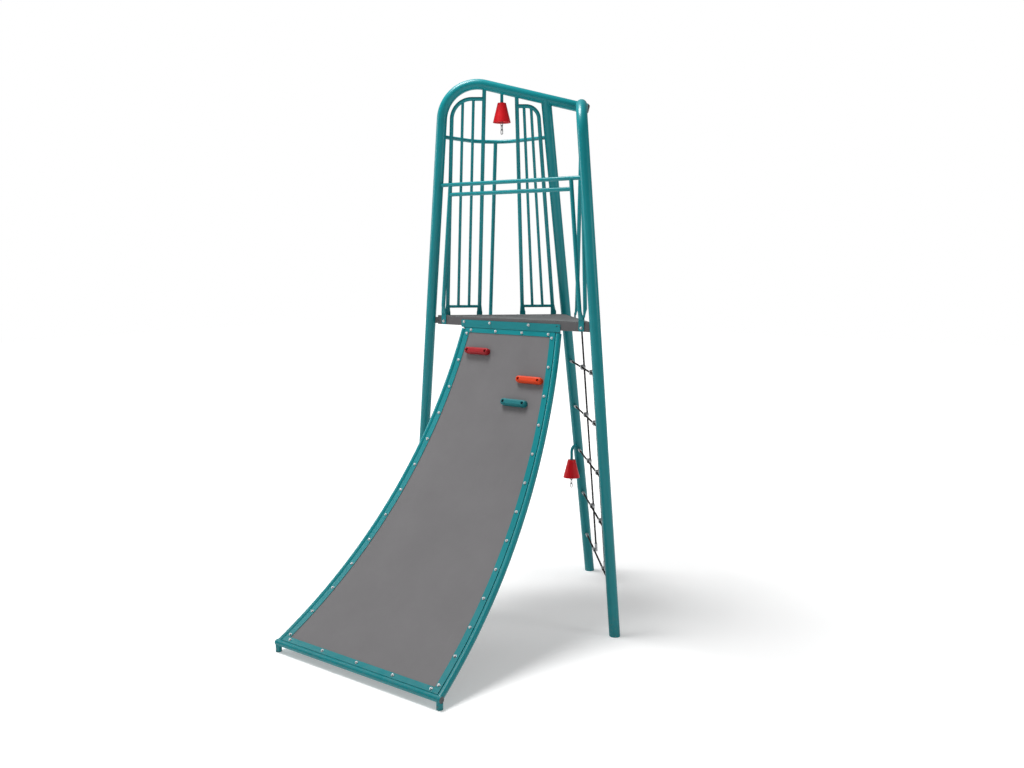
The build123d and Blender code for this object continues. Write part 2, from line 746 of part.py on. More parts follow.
def grab_holds():
    sheet_front = strip_thickness
    for name, (x, below) in holds.items():
        plane = wall_plane(wall_top_angle + below, sheet_front - 1, x)
        with BuildPart() as hold:
            hold_body(plane)
            rim = hold.faces().sort_by(Axis(plane.origin, plane.z_dir))[-1]
            fillet(rim.edges(), radius=hold_depth * 0.45)
            for side in (-1, 1):
                spot = plane.offset(hold_depth).shift_origin(
                    plane.offset(hold_depth).from_local_coords(
                        Vector(side * hold_bolt_spacing / 2, 0, 0)))
                with BuildSketch(spot) as recess:
                    Circle(hold_recess_radius)
                extrude(recess.sketch, amount=-hold_recess_depth, mode=Mode.SUBTRACT)
            with BuildPart(mode=Mode.PRIVATE) as behind:
                wall_slab(wall_top_angle, last_nut, sheet_front, sheet_thickness)
            cut_by(behind)
        write(hold, name)
    with BuildPart() as screws:
        for x, below in holds.values():
            floor = sheet_front - 1 - (hold_depth - hold_recess_depth)
            plane = wall_plane(wall_top_angle + below, floor, x)
            for side in (-1, 1):
                spot = plane.shift_origin(
                    plane.from_local_coords(Vector(side * hold_bolt_spacing / 2, 0, 0)))
                with BuildSketch(spot) as head:
                    Circle(hold_bolt_radius + 3)
                    RegularPolygon(hold_bolt_radius * 0.6, 6, mode=Mode.SUBTRACT)
                extrude(head.sketch, amount=7)
    write(screws, "hold_screws")


# ---- rope net ----
def net_ends(z):
    """Rung ends on the surfaces of the rear and right legs, with room for the fittings."""
    rear, right = rear_axis(z), right_axis(z)
    return ahead(rear, right, leg_radius), ahead(right, rear, leg_radius)


def net_out(z=deck_top):
    line = right_axis(z) - rear_axis(z)
    return Vector(-line.Y, line.X, 0).normalized()


def on_rung(z, share):
    rear, right = rear_axis(z), right_axis(z)
    return rear + (right - rear) * share


def upright(shares):
    """Lower and upper ends of an upright rope's axis."""
    low_z, high_z = rung_heights[0], deck_top - deck_thickness - 10
    low = on_rung(low_z, shares[0]) + net_out(low_z) * rope_stand_off
    high = on_rung(high_z, shares[1]) + net_out(high_z) * rope_stand_off
    return low, high


def crossing(z, shares):
    """Where an upright rope passes a rung: on the upright, and square across on the rung."""
    low, high = upright(shares)
    on_upright = low + (high - low) * ((z - low.Z) / (high.Z - low.Z))
    rear, right = rear_axis(z), right_axis(z)
    along = (right - rear).normalized()
    return on_upright, rear + along * (on_upright - rear).dot(along)


def leg_pairs():
    """Every rung end: a point on one leg's axis, and the one it points to."""
    for z in rung_heights:
        yield rear_axis(z), right_axis(z)
        yield right_axis(z), rear_axis(z)


def lug_bars():
    for near, far in leg_pairs():
        plane = Plane(origin=near, x_dir=(0, 0, 1), z_dir=far - near)
        with BuildSketch(plane) as lug:
            Rectangle(lug_width, lug_thickness)
        extrude(lug.sketch, amount=leg_radius + lug_length)


def rope_net():
    fitting = lug_length + 8
    rung_start = leg_radius + fitting + ferrule_length - 12
    for number, z in enumerate(rung_heights, start=1):
        rear, right = rear_axis(z), right_axis(z)
        with BuildPart() as rung:
            straight_tube(ahead(rear, right, rung_start), ahead(right, rear, rung_start),
                          rope_radius)
        write(rung, "net_rung_" + str(number))
    for number, shares in enumerate(rope_shares, start=1):
        with BuildPart() as rope:
            straight_tube(*upright(shares), rope_radius)
        write(rope, "net_rope_" + str(number))

    with BuildPart() as ropes:
        for z in rung_heights:
            straight_tube(rear_axis(z), right_axis(z), rope_radius + rope_gap / 2)
    with BuildPart() as uprights:
        for shares in rope_shares:
            low, high = upright(shares)
            straight_tube(low, ahead(high, low, -100), rope_radius + rope_gap / 2)

    with BuildPart() as clamps:
        for z in rung_heights[1:]:
            for shares in rope_shares:
                front, back = crossing(z, shares)
                middle = (front + back) / 2
                plane = Plane(origin=middle, z_dir=front - back)
                with BuildSketch(plane) as block:
                    Circle(clamp_radius)
                extrude(block.sketch, amount=clamp_half, both=True)
                with BuildSketch(plane) as rim:
                    Circle(clamp_radius - 4)
                extrude(rim.sketch, amount=clamp_half + rope_radius - 2, both=True)
        cut_by(ropes, uprights)
    write(clamps, "net_clamps")

    with BuildPart() as tees:
        for shares in rope_shares:
            front, back = crossing(rung_heights[0], shares)
            rear, right = rear_axis(rung_heights[0]), right_axis(rung_heights[0])
            along = (right - rear).normalized() * 30
            straight_tube(back - along, back + along, ferrule_radius)
            low, high = upright(shares)
            straight_tube(ahead(low, high, -14), ahead(low, high, 62), ferrule_radius)
        cut_by(ropes, uprights)
    write(tees, "net_tee_ferrules")

    with BuildPart() as ferrules:
        for near, far in leg_pairs():
            start = ahead(near, far, leg_radius + fitting)
            straight_tube(start, ahead(start, far, ferrule_length), ferrule_radius)
            straight_tube(ahead(near, far, rung_start), ahead(near, far, rung_start + 60),
                          rope_radius, mode=Mode.SUBTRACT)
    write(ferrules, "rung_ferrules")

    with BuildPart() as lugs:
        lug_bars()
        cut_by(right_envelope, rear_envelope)
    write(lugs, "net_lugs")
    with BuildPart(mode=Mode.PRIVATE) as lug_space:
        lug_bars()
    with BuildPart() as forks:
        for near, far in leg_pairs():
            along = (far - near).normalized()
            plane = Plane(origin=ahead(near, far, leg_radius + 10), x_dir=(0, 0, 1), z_dir=along)
            with BuildSketch(plane) as fork:
                Rectangle(22, lug_thickness + 12)
            extrude(fork.sketch, amount=fitting - 10)
            pin_half = along.cross(Vector(0, 0, 1)).normalized() * 14
            pin = ahead(near, far, leg_radius + 20)
            straight_tube(pin - pin_half, pin + pin_half, 6)
        cut_by(lug_space)
    write(forks, "rung_forks")

    with BuildPart() as anchors:
        for shares in rope_shares:
            low, high = upright(shares)
            from_corner = Vector(high.X, high.Y, 0) - right_side.start
            board = deck_top - deck_thickness - fascia_height / 2
            face = right_side.face(from_corner.dot(right_side.along), board)
            with BuildSketch(face) as pad:
                Rectangle(44, fascia_height - 8)
            reach = from_corner.dot(right_side.outward) + fascia_setback
            extrude(pad.sketch, amount=reach + ferrule_radius)
        cut_by(uprights)
    write(anchors, "net_anchors")


# ---- bells ----
def eye_pivot(top):
    """Bottom of the eye's wire ring, where the clapper swings."""
    return Vector(top.X, top.Y, top.Z - bell_wall - eye_stem - 2 * eye_radius)


def bell(name, top):
    """A cone bell with its clapper and chain, under a tube that ends at top."""
    low = Vector(top.X, top.Y, top.Z - bell_height)
    with BuildPart() as shell:
        with BuildSketch(Plane.XZ.offset(-top.Y)) as profile:
            with BuildLine():
                inner_top = top.Z - bell_wall
                Polyline((top.X, top.Z), (top.X + bell_top_radius, top.Z),
                         (top.X + bell_bottom_radius, low.Z),
                         (top.X + bell_bottom_radius - bell_wall, low.Z),
                         (top.X + bell_top_radius - bell_wall, inner_top),
                         (top.X, inner_top), close=True)
            make_face()
        revolve(profile.sketch, axis=Axis(top, (0, 0, 1)))
    write(shell, name + "_bell")

    pivot = eye_pivot(top)
    loop_centre = pivot + Vector(0, 0, eye_wire + loop_wire + link_gap - loop_radius)
    rod_top = loop_centre - Vector(0, 0, loop_radius)
    ball = rod_top - Vector(0, 0, clapper_rod)
    tail = ball - Vector(0, 0, clapper_ball + loop_radius)
    with BuildPart() as clapper:
        torus_ring(loop_centre, Vector(1, 0, 0), loop_radius, loop_wire)
        straight_tube(rod_top, ball, 4)
        with Locations(ball):
            Sphere(clapper_ball)
        torus_ring(tail, Vector(1, 0, 0), loop_radius, loop_wire)
    write(clapper, name + "_clapper")

    bow = loop_radius - loop_wire / 2
    step = link_length + 2 * (bow - loop_wire) - link_gap
    with BuildPart() as chain:
        first = tail.Z - loop_radius + 2 * loop_wire + link_gap - bow
        for number in range(link_count):
            upper = first - number * step
            across = Vector(0, 1, 0) if number % 2 == 0 else Vector(1, 0, 0)
            chain_link(Vector(tail.X, tail.Y, upper), across, bow)
    write(chain, name + "_bell_chain")


def chain_link(upper, normal, bow):
    """One long link, hanging down from the centre of its upper bow."""
    plane = Plane(origin=upper - Vector(0, 0, link_length / 2), x_dir=normal.cross(Vector(0, 0, 1)),
                  z_dir=normal)
    half = link_length / 2
    with BuildLine(plane) as outline:
        up = plane.to_local_coords(upper)
        if abs(up.X) > abs(up.Y):
            Line((-half, bow), (half, bow))
            JernArc((half, bow), (1, 0), bow, -180)
            Line((half, -bow), (-half, -bow))
            JernArc((-half, -bow), (-1, 0), bow, -180)
        else:
            Line((bow, -half), (bow, half))
            JernArc((bow, half), (0, 1), bow, 180)
            Line((-bow, half), (-bow, -half))
            JernArc((-bow, -half), (0, -1), bow, 180)
    with BuildSketch(Plane(origin=outline.line @ 0, z_dir=outline.line % 0)) as section:
        Circle(loop_wire)
    sweep(section.sketch, path=outline.line)


def bells():
    on_beam = left_corner + (rear_top - left_corner) * bell_on_beam
    top = Vector(on_beam.X, on_beam.Y, beam_bell_top_z)
    with BuildPart() as hanger:
        straight_tube(top, on_beam, hanger_radius, hanger_wall)
        cut_by(left_envelope)
    write(hanger, "beam_bell_hanger")
    bell("beam", top)

    start = rear_axis(leg_hook_z)
    corner = start - Vector(0, leg_hook_reach, 0)
    end = Vector(corner.X, corner.Y, leg_bell_top_z)
    with BuildPart() as hook:
        bent_tube([start, corner, end], leg_hook_radius, hanger_radius, hanger_wall)
        cut_by(rear_envelope)
    write(hook, "leg_bell_hook")
    bell("leg", end)

    with BuildPart() as eyes:
        for bell_top in (top, end):
            under = bell_top - Vector(0, 0, bell_wall)
            straight_tube(under, under - Vector(0, 0, eye_stem), eye_wire + 1)
            torus_ring(eye_pivot(bell_top) + Vector(0, 0, eye_radius), Vector(0, 1, 0),
                       eye_radius, eye_wire)
    write(eyes, "bell_eyes")


def build():
    os.makedirs(parts_folder, exist_ok=True)
    legs_and_beam()
    deck()
    front_guard()
    back_panel("guard_panel_left", left_panel_feet, left_outer_top, left_panel_top,
               left_panel_radius, left_inner_on_beam, True)
    back_panel("guard_panel_right", right_panel_feet, right_outer_top, right_panel_top,
               right_panel_radius, right_inner_on_beam, False)
    rails_and_poles()
    guard_nuts()
    wall_frame()
    grab_holds()
    rope_net()
    bells()


build()
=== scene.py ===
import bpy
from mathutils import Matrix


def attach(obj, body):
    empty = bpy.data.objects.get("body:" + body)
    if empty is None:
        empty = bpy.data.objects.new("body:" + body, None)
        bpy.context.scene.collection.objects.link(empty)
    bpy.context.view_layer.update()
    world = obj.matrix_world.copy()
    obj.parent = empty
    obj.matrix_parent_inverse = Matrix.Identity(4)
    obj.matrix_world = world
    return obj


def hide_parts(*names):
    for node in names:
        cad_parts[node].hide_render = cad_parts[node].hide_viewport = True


bl_info = {
    "name": "Playground Climbing Tower",
    "version": (1, 0, 0),
    "blender": (4, 5, 0),
    "location": "View3D > Sidebar > Climbing Tower",
    "description": "Finishes a climbing tower with its wall, net, holds, bells and stage",
    "category": "Add Mesh",
}

import math

import bpy
from mathutils import Matrix, Vector

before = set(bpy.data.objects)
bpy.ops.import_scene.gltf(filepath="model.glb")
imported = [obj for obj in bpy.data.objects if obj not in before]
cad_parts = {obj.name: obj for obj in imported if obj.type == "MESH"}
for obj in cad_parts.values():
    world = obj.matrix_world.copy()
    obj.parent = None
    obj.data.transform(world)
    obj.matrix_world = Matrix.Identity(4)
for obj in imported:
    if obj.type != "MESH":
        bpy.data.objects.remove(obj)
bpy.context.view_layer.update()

POWDER_COATED = (
    "left_leg_and_beam", "right_leg_and_arm", "rear_leg", "curved_rail", "slide_pole",
    "grab_pole_front", "grab_pole_rear", "guard_panel_left", "guard_panel_right", "front_guard",
    "wall_tube_left", "wall_tube_right", "wall_bottom_tube", "wall_feet", "wall_backing_flange",
    "edge_strip_left", "edge_strip_right", "edge_strip_top", "edge_strip_bottom",
    "wall_mount_plate", "wall_top_bar", "net_lugs", "beam_bell_hanger", "leg_bell_hook",
)
DECK_EDGES = ("front_fascia", "left_fascia", "right_fascia", "deck_corner_brackets")
MOULDED_CAPS = ("beam_end_cap", "wall_tube_caps")
ZINC_FASTENERS = ("wall_nuts", "wall_plate_nuts", "guard_nuts", "hold_screws")
DECK_SCREWS = ("deck_screws", "wall_foot_screws")
NET_FITTINGS = ("net_clamps", "net_tee_ferrules", "rung_ferrules", "rung_forks", "net_anchors")
BELL_STEEL = ("bell_eyes", "beam_clapper", "beam_bell_chain", "leg_clapper", "leg_bell_chain")
BELLS = ("beam_bell", "leg_bell")
HOLDS = ("hold_red", "hold_orange", "hold_teal")
ROPES = ("net_rope_1", "net_rope_2", "net_rung_1", "net_rung_2", "net_rung_3", "net_rung_4",
         "net_rung_5")
ROOT_BODY = "tower"
ROPE_RADIUS = 0.0080
ROPE_CORNERS = 18
STEPS_PER_TURN = 14
STAGE_AIM = (0, -0.3, 1.6)


# ---- settings -------------------------------------------------------------------------------
class TowerFinishSettings(bpy.types.PropertyGroup):
    """Colours of the tower's finishes."""

    coat: bpy.props.FloatVectorProperty(
        name="Frame coat", description="Powder coat on the steel tubes and strips",
        subtype="COLOR", size=3, min=0, max=1, default=(0.0015, 0.1950, 0.2180))
    sheet: bpy.props.FloatVectorProperty(
        name="Wall sheet", description="Climbing wall's laminate sheet",
        subtype="COLOR", size=3, min=0, max=1, default=(0.1280, 0.1240, 0.1280))
    deck: bpy.props.FloatVectorProperty(
        name="Deck", description="Embossed deck top",
        subtype="COLOR", size=3, min=0, max=1, default=(0.1150, 0.1180, 0.1200))
    deck_edge: bpy.props.FloatVectorProperty(
        name="Deck edge", description="Coat on the deck's edge boards and brackets",
        subtype="COLOR", size=3, min=0, max=1, default=(0.0850, 0.0830, 0.0870))
    bell: bpy.props.FloatVectorProperty(
        name="Bells", description="Enamel on the pull bells",
        subtype="COLOR", size=3, min=0, max=1, default=(0.5700, 0.0030, 0.0090))
    red_hold: bpy.props.FloatVectorProperty(
        name="Red hold", description="Resin of the red hold",
        subtype="COLOR", size=3, min=0, max=1, default=(0.2900, 0.0030, 0.0080))
    orange_hold: bpy.props.FloatVectorProperty(
        name="Orange hold", description="Resin of the orange hold",
        subtype="COLOR", size=3, min=0, max=1, default=(0.6000, 0.0400, 0.0020))
    teal_hold: bpy.props.FloatVectorProperty(
        name="Teal hold", description="Resin of the teal hold",
        subtype="COLOR", size=3, min=0, max=1, default=(0.0020, 0.1400, 0.1580))
    rope: bpy.props.FloatVectorProperty(
        name="Rope", description="Sheath of the net's ropes",
        subtype="COLOR", size=3, min=0, max=1, default=(0.0060, 0.0060, 0.0066))


class TowerDetailSettings(bpy.types.PropertyGroup):
    """Sizes of the details made here."""

    rope_lay: bpy.props.FloatProperty(
        name="Rope lay", description="Length of one whole turn of a rope's strands",
        subtype="DISTANCE", unit="LENGTH", default=0.090, min=0.02)
    strand_depth: bpy.props.FloatProperty(
        name="Strand depth", description="Depth of the grooves between a rope's strands",
        subtype="DISTANCE", unit="LENGTH", default=0.0016, min=0.0)


class TowerStageSettings(bpy.types.PropertyGroup):
    """Floor, lights and camera."""

    camera_place: bpy.props.FloatVectorProperty(
        name="Camera place", description="Where the camera stands",
        subtype="TRANSLATION", unit="LENGTH", size=3, default=(5.090, -6.400, 3.050))
    camera_turn: bpy.props.FloatVectorProperty(
        name="Camera turn", description="How the camera is turned",
        subtype="EULER", unit="ROTATION", size=3,
        default=(math.radians(82.63), 0.0, math.radians(37.17)))
    lens: bpy.props.FloatProperty(
        name="Lens", description="Focal length on a 36 mm wide sensor, in millimetres",
        default=35.03, min=10)
    surround_strength: bpy.props.FloatProperty(
        name="Surround light", description="Strength of the even light from all round",
        default=0.24, min=0)
    front_power: bpy.props.FloatProperty(
        name="Front light", description="Power of the low soft light in front, in watts",
        default=20.0, min=0)
    top_power: bpy.props.FloatProperty(
        name="Top light", description="Power of the soft light overhead, in watts",
        default=820.0, min=0)
    left_power: bpy.props.FloatProperty(
        name="Left light", description="Power of the soft light on the left, in watts",
        default=120.0, min=0)
    right_power: bpy.props.FloatProperty(
        name="Right light", description="Power of the narrow light on the right, in watts",
        default=45.0, min=0)
    floor_tone: bpy.props.FloatVectorProperty(
        name="Floor", description="Tone of the studio floor",
        subtype="COLOR", size=3, min=0, max=1, default=(0.80, 0.80, 0.80))


# ---- shader helpers -------------------------------------------------------------------------
class Signal:
    """A shader value: an output socket with arithmetic."""

    def __init__(self, shader, socket):
        self.shader = shader
        self.socket = socket

    def math(self, operation, *values):
        return self.shader.node("ShaderNodeMath", {"operation": operation}, *values)

    def __add__(self, other):
        return self.math("ADD", self, other)

    def __radd__(self, other):
        return self.math("ADD", other, self)

    def __sub__(self, other):
        return self.math("SUBTRACT", self, other)

    def __rsub__(self, other):
        return self.math("SUBTRACT", other, self)

    def __mul__(self, other):
        return self.math("MULTIPLY", self, other)

    def __rmul__(self, other):
        return self.math("MULTIPLY", other, self)

    def fraction(self):
        return self.math("FRACT", self)

    def fold(self, half):
        """Rise to half and fall again."""
        return self.math("PINGPONG", self, half)


class Shader:
    """A material's node tree under construction."""

    def __init__(self, name):
        self.material = bpy.data.materials.new(name)
        self.material.use_nodes = True
        self.tree = self.material.node_tree
        self.surface = self.tree.nodes["Principled BSDF"]

    def node(self, kind, settings=None, *values, output=0, **named):
        """Add a node: its settings first, then the values or links of its sockets."""
        made = self.tree.nodes.new(kind)
        for key, value in (settings or {}).items():
            setattr(made, key, value)
        for index, value in enumerate(values):
            self.feed(made.inputs[index], value)
        for key, value in named.items():
            self.feed(made.inputs[key.replace("_", " ")], value)
        return Signal(self, made.outputs[output])

    def feed(self, socket, value):
        if isinstance(value, Signal):
            self.tree.links.new(value.socket, socket)
        elif value is not None:
            socket.default_value = value

    def place(self, scale=(1, 1, 1), turn=(0, 0, 0)):
        """Object coordinates in metres, scaled and turned."""
        spot = self.node("ShaderNodeTexCoord", output="Object")
        return self.node("ShaderNodeMapping", {}, spot, (0, 0, 0), turn, scale)

    def noise(self, spot, scale, detail=3.0, roughness=0.5, distortion=0.0):
        return self.node("ShaderNodeTexNoise", {}, Vector=spot, Scale=scale, Detail=detail,
                         Roughness=roughness, Distortion=distortion)

    def ramp(self, value, low, high):
        """0 below low, 1 above high, and a straight slope between."""
        return self.node("ShaderNodeMapRange", {"clamp": True}, value, low, high, 0.0, 1.0)

    def mix(self, factor, first, second, blend="MIX"):
        made = self.tree.nodes.new("ShaderNodeMix")
        made.data_type = "RGBA"
        made.blend_type = blend
        made.clamp_factor = True
        self.feed(made.inputs["Factor"], factor)
        for socket, value in ((made.inputs[6], first), (made.inputs[7], second)):
            self.feed(socket, value if isinstance(value, Signal) else (*value, 1.0))
        return Signal(self, made.outputs[2])

    def bump(self, height, distance, strength=1.0):
        return self.node("ShaderNodeBump", {}, Strength=strength, Distance=distance,
                         Height=height)

    def heights(self):
        """Height above the ground, in metres."""
        return self.node("ShaderNodeSeparateXYZ", {}, self.place(), output=2)

    def facing_up(self):
        """1 where the surface faces straight up."""
        normal = self.node("ShaderNodeNewGeometry", output="Normal")
        return self.node("ShaderNodeSeparateXYZ", {}, normal, output=2)

    def finish(self, base, rough, normal=None, metal=0.0, coat=0.0, coat_rough=0.1, level=0.5):
        self.feed(self.surface.inputs["Base Color"],
                  base if isinstance(base, Signal) else (*base, 1.0))
        self.feed(self.surface.inputs["Roughness"], rough)
        self.feed(self.surface.inputs["Metallic"], metal)
        self.feed(self.surface.inputs["Coat Weight"], coat)
        self.surface.inputs["Coat Roughness"].default_value = coat_rough
        self.surface.inputs["Specular IOR Level"].default_value = level
        if normal is not None:
            self.feed(self.surface.inputs["Normal"], normal)
        return self.material


def tinted(colour, factor):
    """A colour made lighter or darker."""
    return tuple(min(1.0, channel * factor) for channel in colour)


def powder_coat(name, colour):
    """Satin powder coat with orange peel, thin dust on top and splashes near the ground."""
    s = Shader(name)
    spot = s.place()
    cloud = s.noise(spot, 2.6, 4.0, 0.55)
    fine = s.noise(spot, 420.0, 2.0, 0.5)
    peel = s.noise(spot, 190.0, 3.0, 0.45)
    base = s.mix(s.ramp(cloud, 0.3, 0.7), tinted(colour, 0.94), tinted(colour, 1.06))
    base = s.mix(s.ramp(fine, 0.62, 0.78) * 0.18, base, tinted(colour, 1.35))
    grey = (0.34, 0.35, 0.34)
    dust = s.ramp(s.facing_up(), 0.55, 1.0) * s.ramp(s.noise(spot, 9.0, 5.0, 0.6), 0.38, 0.78)
    base = s.mix(dust * 0.05, base, grey)
    low = 1.0 - s.ramp(s.heights(), 0.02, 0.24)
    splash = low * s.ramp(s.noise(spot, 60.0, 5.0, 0.65), 0.50, 0.72)
    base = s.mix(splash * 0.35, base, (0.16, 0.14, 0.12))
    rough = 0.30 + s.ramp(cloud, 0.25, 0.75) * 0.07 + dust * 0.20 + splash * 0.25
    return s.finish(base, rough, s.bump(peel, 0.00016), coat=0.05, coat_rough=0.12, level=0.28)


def wall_laminate(name, colour):
    """Dense grey laminate: fine grain, faint mottling and rub marks down the climbing line."""
    s = Shader(name)
    spot = s.place()
    grain = s.noise(spot, 620.0, 2.0, 0.6)
    mottle = s.noise(spot, 3.0, 6.0, 0.62)
    base = s.mix(s.ramp(mottle, 0.28, 0.72), tinted(colour, 0.93), tinted(colour, 1.07))
    base = s.mix(s.ramp(grain, 0.56, 0.74) * 0.30, base, tinted(colour, 1.45))
    base = s.mix(s.ramp(grain, 0.44, 0.28) * 0.25, base, tinted(colour, 0.62))
    rubs = s.ramp(s.noise(s.place((26.0, 2.2, 2.2)), 2.4, 6.0, 0.6, 0.5), 0.63, 0.75)
    base = s.mix(rubs * 0.10, base, tinted(colour, 1.6))
    rough = 0.52 + s.ramp(mottle, 0.3, 0.7) * 0.06 - rubs * 0.06
    return s.finish(base, rough, s.bump(grain + rubs * 0.3, 0.00016), level=0.42)


def deck_emboss(name, colour):
    """Non-slip deck top: pressed raised pips, paler on their tops, with streaks of grit."""
    s = Shader(name)
    spot = s.place(turn=(0, 0, math.radians(38)))
    cells = s.node("ShaderNodeTexVoronoi", {"feature": "F1"}, Vector=spot, Scale=62.0,
                   Randomness=0.15)
    pips = 1.0 - s.ramp(cells, 0.18, 0.42)
    streaks = s.noise(s.place((2.4, 30.0, 2.4), (0, 0, math.radians(-8))), 1.7, 6.0, 0.62, 0.4)
    grit = s.noise(spot, 240.0, 4.0, 0.7)
    base = s.mix(s.ramp(streaks, 0.34, 0.68), tinted(colour, 0.62), tinted(colour, 1.30))
    # the tops of the raised pips are made paler
    base = s.mix(pips * 0.45, base, tinted(colour, 1.75))
    base = s.mix(s.ramp(grit, 0.55, 0.72) * 0.35, base, tinted(colour, 0.55))
    rough = 0.72 - pips * 0.18 + s.ramp(grit, 0.3, 0.7) * 0.10
    return s.finish(base, rough, s.bump(pips + grit * 0.25, 0.0009), level=0.35)


def edge_board_coat(name, colour):
    """Dark grey coat of the deck's edge boards, with drip streaks down from the top."""
    s = Shader(name)
    spot = s.place()
    cloud = s.noise(spot, 5.0, 5.0, 0.6)
    peel = s.noise(spot, 260.0, 2.0, 0.5)
    drips = s.ramp(s.noise(s.place((34.0, 34.0, 3.0)), 1.6, 4.0, 0.55), 0.55, 0.75)
    base = s.mix(s.ramp(cloud, 0.3, 0.7), tinted(colour, 0.90), tinted(colour, 1.10))
    base = s.mix(drips * 0.22, base, tinted(colour, 1.55))
    rough = 0.46 + s.ramp(cloud, 0.3, 0.7) * 0.10 + drips * 0.08
    return s.finish(base, rough, s.bump(peel, 0.00025), level=0.4)


def moulded_cap(name, colour):
    """Matt moulded plastic with a spark-eroded grain."""
    s = Shader(name)
    spot = s.place()
    grain = s.noise(spot, 900.0, 2.0, 0.6)
    cloud = s.noise(spot, 24.0, 4.0, 0.55)
    base = s.mix(s.ramp(cloud, 0.3, 0.7), tinted(colour, 0.85), tinted(colour, 1.15))
    return s.finish(base, 0.50 + s.ramp(cloud, 0.3, 0.7) * 0.12, s.bump(grain, 0.00012),
                    level=0.4)


def zinc_plate(name, colour, metal=0.55):
    """Bright zinc with cloudy bloom."""
    s = Shader(name)
    spot = s.place()
    bloom = s.noise(spot, 95.0, 5.0, 0.6)
    scratch = s.noise(s.place((40.0, 40.0, 600.0)), 1.4, 3.0, 0.5)
    base = s.mix(s.ramp(bloom, 0.36, 0.68), tinted(colour, 0.78), tinted(colour, 1.10))
    rough = 0.30 + s.ramp(bloom, 0.3, 0.7) * 0.18
    return s.finish(base, rough, s.bump(bloom * 0.6 + scratch * 0.4, 0.00012), metal=metal)


def cast_fitting(name, colour):
    """Tumbled aluminium of the rope fittings: pale, slightly pitted."""
    s = Shader(name)
    spot = s.place()
    pits = s.noise(spot, 330.0, 3.0, 0.6)
    cloud = s.noise(spot, 30.0, 4.0, 0.6)
    base = s.mix(s.ramp(cloud, 0.3, 0.7), tinted(colour, 0.82), tinted(colour, 1.10))
    base = s.mix(s.ramp(pits, 0.62, 0.74) * 0.4, base, tinted(colour, 0.5))
    return s.finish(base, 0.36 + s.ramp(cloud, 0.3, 0.7) * 0.14, s.bump(pits, 0.0002),
                    metal=0.70)


def rope_sheath(name, colour):
    """Braided black sheath: small crossing stitches along the rope, worn dusty."""
    s = Shader(name)
    way = s.node("ShaderNodeUVMap", {"uv_map": "along"})
    across = s.node("ShaderNodeSeparateXYZ", {}, way, output=0)
    along = s.node("ShaderNodeSeparateXYZ", {}, way, output=1)
    left = (across * 12.0 + along * 170.0).fraction()
    right = (across * 12.0 - along * 170.0).fraction()
    stitch = left.fold(0.5) * right.fold(0.5) * 4.0
    fuzz = s.noise(s.place(), 700.0, 3.0, 0.7)
    base = s.mix(stitch, tinted(colour, 0.6), tinted(colour, 1.7))
    base = s.mix(s.ramp(fuzz, 0.55, 0.75) * 0.25, base, (0.075, 0.073, 0.070))
    return s.finish(base, 0.62 + fuzz * 0.2, s.bump(stitch + fuzz * 0.3, 0.0006), level=0.4)


def bell_enamel(name, colour):
    """Red enamel over spun steel: faint spinning rings and chips."""
    s = Shader(name)
    spot = s.place()
    cloud = s.noise(spot, 14.0, 4.0, 0.55)
    rings = s.noise(s.place((3.0, 3.0, 420.0)), 1.0, 2.0, 0.4)
    base = s.mix(s.ramp(cloud, 0.3, 0.7), tinted(colour, 0.86), tinted(colour, 1.06))
    chips = s.ramp(s.noise(spot, 120.0, 4.0, 0.7), 0.73, 0.76)
    base = s.mix(chips * 0.6, base, (0.10, 0.085, 0.08))
    rough = 0.34 + s.ramp(cloud, 0.3, 0.7) * 0.08 + chips * 0.3
    return s.finish(base, rough, s.bump(rings - chips * 0.6, 0.00018), coat=0.05,
                    coat_rough=0.15, level=0.3)


def bell_steel(name, colour):
    """Galvanised chain and clapper steel with dull patches."""
    s = Shader(name)
    spot = s.place()
    cloud = s.noise(spot, 160.0, 4.0, 0.6)
    base = s.mix(s.ramp(cloud, 0.34, 0.66), tinted(colour, 0.55), tinted(colour, 1.1))
    return s.finish(base, 0.30 + s.ramp(cloud, 0.3, 0.7) * 0.2, s.bump(cloud, 0.0003), metal=0.85)


def grip_resin(name, colour):
    """Sand-filled resin of the holds: gritty skin, chalk in the grain."""
    s = Shader(name)
    spot = s.place()
    grit = s.noise(spot, 520.0, 4.0, 0.7)
    cloud = s.noise(spot, 18.0, 4.0, 0.6)
    base = s.mix(s.ramp(cloud, 0.3, 0.7), tinted(colour, 0.90), tinted(colour, 1.06))
    base = s.mix(s.ramp(grit, 0.58, 0.74) * 0.16, base, tinted(colour, 1.5))
    base = s.mix(s.ramp(grit, 0.42, 0.28) * 0.30, base, tinted(colour, 0.55))
    chalk = s.ramp(s.facing_up(), 0.3, 0.9) * s.ramp(s.noise(spot, 45.0, 5.0, 0.65), 0.5, 0.75)
    base = s.mix(chalk * 0.05, base, (0.7, 0.69, 0.67))
    return s.finish(base, 0.44 + s.ramp(grit, 0.3, 0.7) * 0.14, s.bump(grit, 0.0005), level=0.28)


def studio_floor(name, colour):
    """Pale floor with a painted glow: it emits light that brightens it to plain white away from
    the tower.
    """
    s = Shader(name)
    spot = s.place()
    away = s.node("ShaderNodeVectorMath", {"operation": "LENGTH"}, spot, output=1)
    base = s.mix(s.ramp(s.noise(spot, 0.8, 3.0), 0.3, 0.7), tinted(colour, 0.99),
                 tinted(colour, 1.01))
    # painted light: the floor glows, at 0.3 near the tower rising to plain white from 7.5 m out
    s.surface.inputs["Emission Strength"].default_value = 1.0
    glow = s.mix(s.ramp(away, 2.5, 7.5), (0.30, 0.30, 0.30), (1.0, 1.0, 1.0))
    s.feed(s.surface.inputs["Emission Color"], glow)
    return s.finish(base, 0.9, level=0.1)


